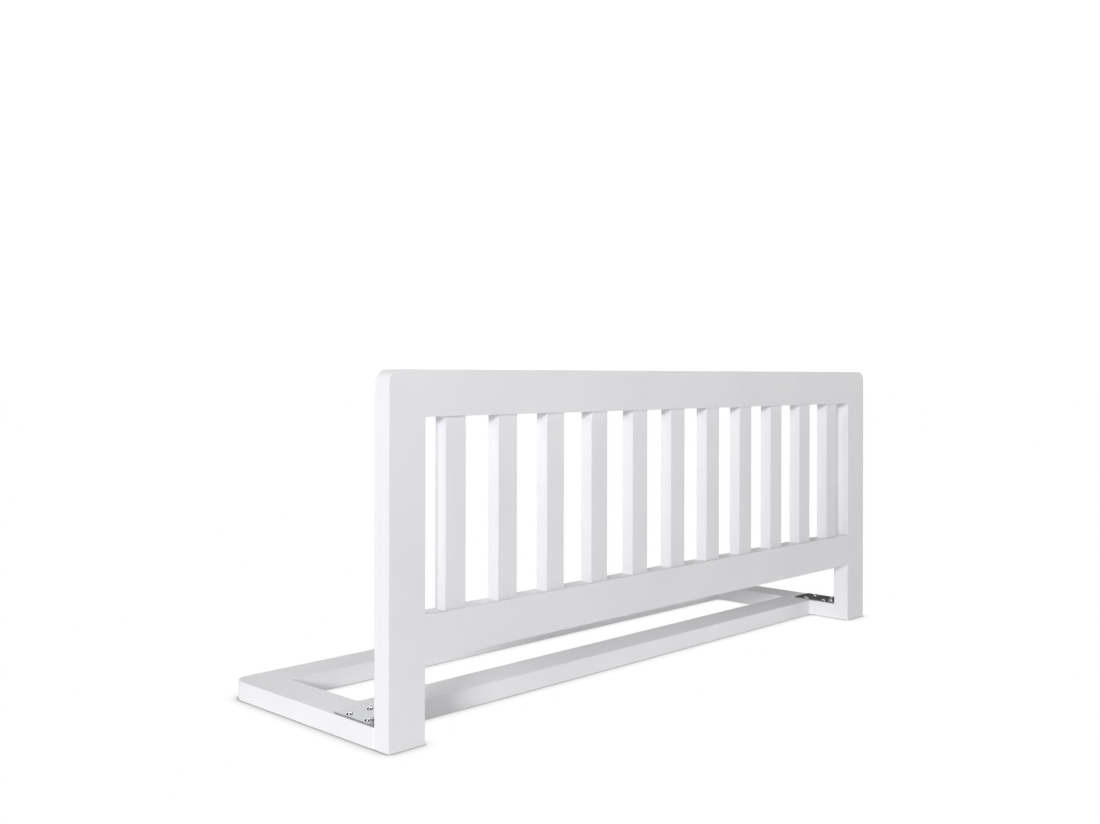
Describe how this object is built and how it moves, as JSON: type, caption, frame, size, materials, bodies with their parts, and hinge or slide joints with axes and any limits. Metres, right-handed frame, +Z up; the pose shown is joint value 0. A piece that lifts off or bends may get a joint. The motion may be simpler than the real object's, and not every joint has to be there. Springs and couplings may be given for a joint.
{
  "type": "folding bed guard rail",
  "caption": "White slatted wooden guard for a child's bed, hinged to a flat frame that slides under the mattress; the guard folds down over the frame.",
  "frame": {"origin": "middle of the whole rail's footprint, on the face that it rests on", "axes": "+X along the bed to the right, +Y in under the mattress, +Z up"},
  "size_m": [1.2, 0.376, 0.49],
  "materials": {
    "white_lacquered_wood": "opaque white satin lacquer",
    "beech": "bare turned wood",
    "plated_steel": "bright nickel plate"
  },
  "bodies": {
    "base": {"base_left_side": "white_lacquered_wood", "base_right_side": "white_lacquered_wood", "base_front_rail": "white_lacquered_wood", "base_back_rail": "white_lacquered_wood", "base_dowel_1": "beech", "base_dowel_2": "beech", "base_dowel_3": "beech", "base_dowel_4": "beech", "base_dowel_5": "beech", "base_dowel_6": "beech", "base_dowel_7": "beech", "base_dowel_8": "beech", "left_hinge_base_leaf": "plated_steel", "right_hinge_base_leaf": "plated_steel", "left_hinge_pin": "plated_steel", "right_hinge_pin": "plated_steel", "left_hinge_base_screw_1": "plated_steel", "left_hinge_base_screw_2": "plated_steel", "left_hinge_base_screw_3": "plated_steel", "left_hinge_base_screw_4": "plated_steel", "right_hinge_base_screw_1": "plated_steel", "right_hinge_base_screw_2": "plated_steel", "right_hinge_base_screw_3": "plated_steel", "right_hinge_base_screw_4": "plated_steel"},
    "guard": {"left_post": "white_lacquered_wood", "right_post": "white_lacquered_wood", "top_rail": "white_lacquered_wood", "bottom_rail": "white_lacquered_wood", "slat_01": "white_lacquered_wood", "slat_02": "white_lacquered_wood", "slat_03": "white_lacquered_wood", "slat_04": "white_lacquered_wood", "slat_05": "white_lacquered_wood", "slat_06": "white_lacquered_wood", "slat_07": "white_lacquered_wood", "slat_08": "white_lacquered_wood", "slat_09": "white_lacquered_wood", "slat_10": "white_lacquered_wood", "slat_11": "white_lacquered_wood", "guard_dowel_1": "beech", "guard_dowel_2": "beech", "guard_dowel_3": "beech", "guard_dowel_4": "beech", "guard_dowel_5": "beech", "guard_dowel_6": "beech", "guard_dowel_7": "beech", "guard_dowel_8": "beech", "left_hinge_post_leaf": "plated_steel", "right_hinge_post_leaf": "plated_steel", "left_hinge_post_screw_1": "plated_steel", "left_hinge_post_screw_2": "plated_steel", "left_hinge_post_screw_3": "plated_steel", "left_hinge_post_screw_4": "plated_steel", "right_hinge_post_screw_1": "plated_steel", "right_hinge_post_screw_2": "plated_steel", "right_hinge_post_screw_3": "plated_steel", "right_hinge_post_screw_4": "plated_steel"}
  },
  "joints": [
    {"name": "guard_fold", "type": "hinge", "parent": "base", "child": "guard", "pos_m": [0, -0.1485, 0.0333], "axis": [-1, 0, 0], "range_deg": [0, 90]}
  ]
}
